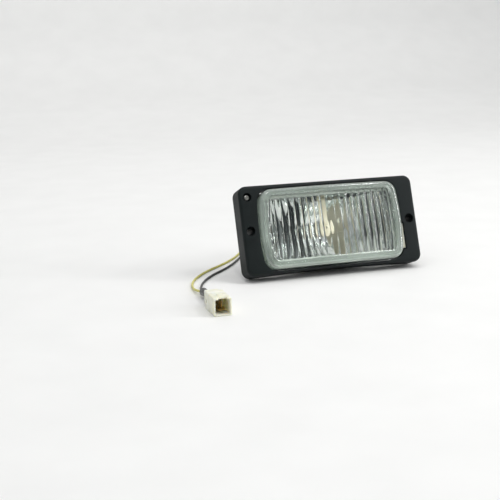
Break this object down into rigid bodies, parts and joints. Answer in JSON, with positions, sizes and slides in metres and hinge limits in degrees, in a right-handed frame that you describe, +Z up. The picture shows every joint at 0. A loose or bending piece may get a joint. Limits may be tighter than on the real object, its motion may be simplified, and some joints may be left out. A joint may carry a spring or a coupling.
{
  "type": "rectangular front fog light",
  "caption": "Rectangular halogen fog light in a black bezel with fixing ears and an aim screw, a fluted glass lens, and a rubber boot with a short two-wire lead and white connector",
  "frame": {"origin": "on the bench under the middle of the lamp, with the lamp leaning back 20 degrees on the bezel's lower rear edge and the end of the boot; the free lead isn't counted", "axes": "+Z up; the lamp faces -Y and 20 degrees upwards; +X is the viewer's right as they look at the lens"},
  "size_m": [0.241, 0.2506, 0.0892],
  "materials": {
    "bezel": "moulded black, fine grain",
    "pivot_clips": "natural nylon",
    "adjuster_screw": "zinc plated",
    "screw_washer": "zinc plated",
    "adjuster_nut": "natural nylon",
    "lens": "clear pressed glass, faintly green, fluted",
    "lens_seal": "pale grey-green butyl",
    "reflector": "vacuum metallised",
    "rear_housing": "moulded black",
    "glare_shield": "cream",
    "shield_rivets": "plain",
    "bulb_seat": "zinc plated",
    "seat_screws": "zinc plated",
    "bulb_base": "nickel plated",
    "bulb_glass": "clear quartz",
    "bulb_filament": "tungsten wire",
    "bulb_lead": "black insulation, tinned spade",
    "bulb_clip": "sprung wire",
    "boot": "soft black",
    "feed_terminal": "plain",
    "earth_terminal": "plain",
    "wire_black": "black insulation",
    "wire_yellow": "pale yellow insulation",
    "wire_sleeve": "black",
    "connector_housing": "natural nylon",
    "blade_flat": "plain",
    "blade_upright": "plain"
  },
  "bodies": {
    "optic_unit": {"pivot_clips": "pivot_clips", "adjuster_nut": "adjuster_nut", "lens": "lens", "lens_seal": "lens_seal", "reflector": "reflector", "rear_housing": "rear_housing", "glare_shield": "glare_shield", "shield_rivets": "shield_rivets", "bulb_seat": "bulb_seat", "seat_screws": "seat_screws", "bulb_base": "bulb_base", "bulb_glass": "bulb_glass", "bulb_filament": "bulb_filament", "bulb_lead": "bulb_lead", "boot": "boot", "feed_terminal": "feed_terminal", "earth_terminal": "earth_terminal", "wire_black": "wire_black", "wire_yellow": "wire_yellow", "wire_sleeve": "wire_sleeve", "connector_housing": "connector_housing", "blade_flat": "blade_flat", "blade_upright": "blade_upright"},
    "bezel_frame": {"bezel": "bezel"},
    "adjuster": {"adjuster_screw": "adjuster_screw", "screw_washer": "screw_washer"},
    "bulb_clip_wire": {"bulb_clip": "bulb_clip"}
  },
  "joints": [
    {"name": "aim_tilt", "type": "hinge", "parent": "optic_unit", "child": "bezel_frame", "pos_m": [0, -0.03417, 0.02725], "axis": [1, 0, 0], "range_deg": [-3, 3]},
    {"name": "adjuster_turn", "type": "hinge", "parent": "bezel_frame", "child": "adjuster", "pos_m": [-0.0825, -0.02318, 0.07646], "axis": [0, 0.9397, -0.342], "range_deg": [-600, 600]},
    {"name": "bulb_clip_hinge", "type": "hinge", "parent": "optic_unit", "child": "bulb_clip_wire", "pos_m": [0, 0.01968, 0.03692], "axis": [1, 0, 0], "range_deg": [0, 20], "stiffness_Nm_per_rad": 0.02, "springref_deg": -17.19}
  ],
  "couplings": [
    {"joint": "adjuster_turn", "follows": "aim_tilt", "ratio": -196.35}
  ]
}
